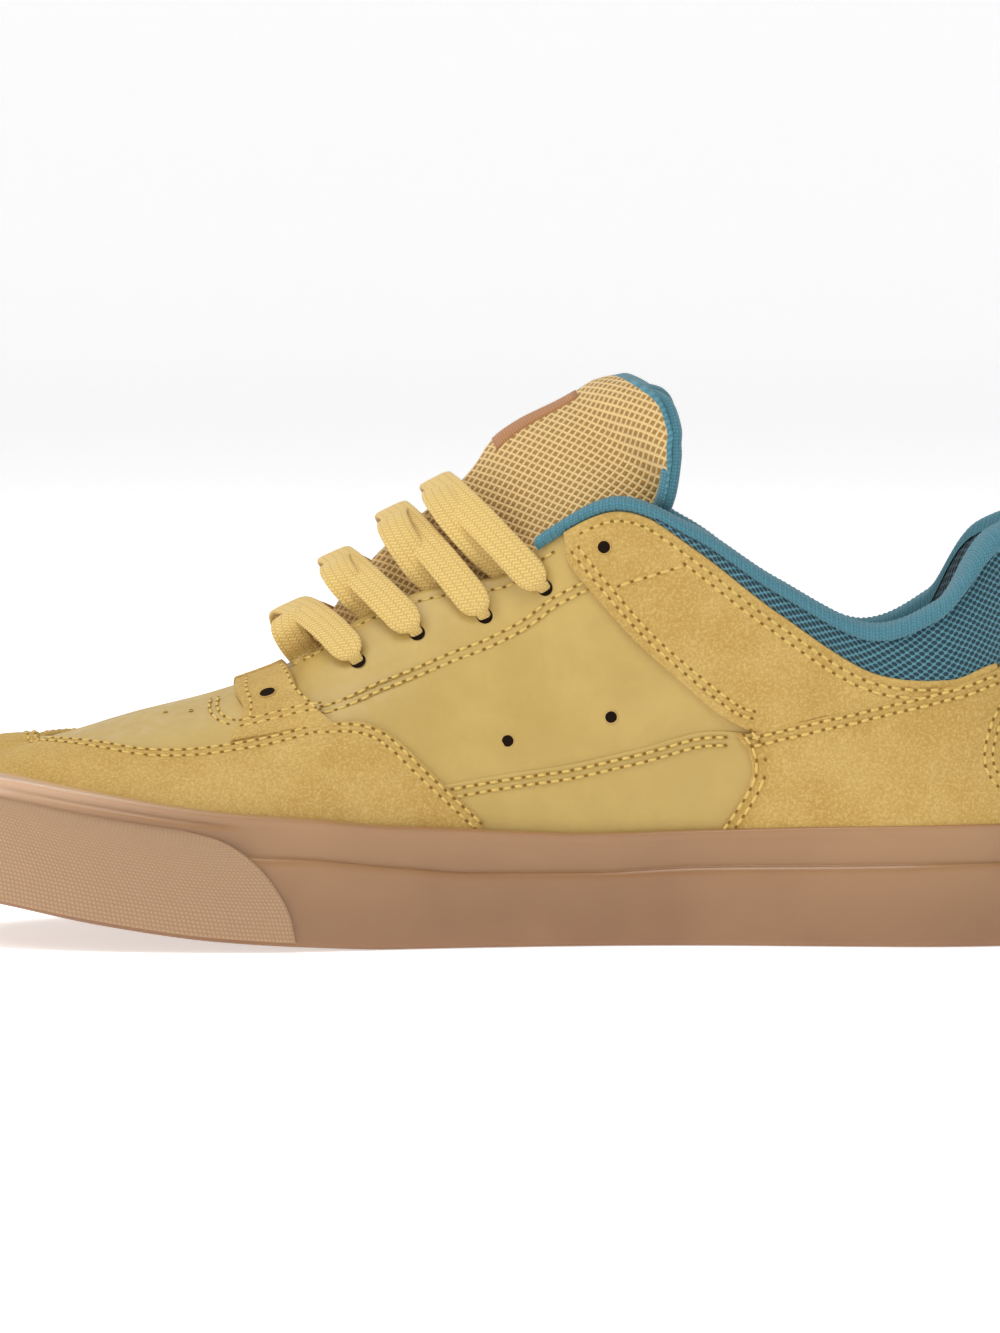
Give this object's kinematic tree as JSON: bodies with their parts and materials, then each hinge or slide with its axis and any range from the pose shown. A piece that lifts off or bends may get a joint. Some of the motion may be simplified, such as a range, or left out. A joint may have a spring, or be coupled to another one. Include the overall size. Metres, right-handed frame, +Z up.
{
  "type": "skateboarding_shoe",
  "caption": "Low skateboarding shoe for the right foot, golden tan leather and suede with a teal mesh collar, padded tan tongue, flat laces and a gum rubber cupsole",
  "frame": {"origin": "ground under the middle of the heel, 45 mm ahead of the heel's back", "axes": "+X towards the toe, +Y towards the inner side of the foot, +Z up"},
  "size_m": [0.3015, 0.1144, 0.1392],
  "materials": {
    "leather": "satin",
    "suede": "matte",
    "gum_rubber": "satin",
    "bumper_rubber": "matte",
    "teal_knit": "matte",
    "tan_mesh": "matte",
    "lace": "matte",
    "lining": "matte",
    "plain_label": "matte"
  },
  "bodies": {
    "root": {"sole": "gum_rubber", "toe_bumper": "bumper_rubber", "upper": "leather", "toe_overlay": "suede", "heel_overlay": "suede", "eyestay_overlay_inner": "suede", "eyestay_overlay_outer": "suede", "lace_tab_inner": "suede", "lace_tab_outer": "suede", "collar": "teal_knit", "tongue": "tan_mesh", "tongue_label": "plain_label", "insole": "lining", "lace_crossing_1": "lace", "lace_crossing_2": "lace", "lace_crossing_3": "lace", "lace_crossing_4": "lace"}
  },
  "joints": []
}
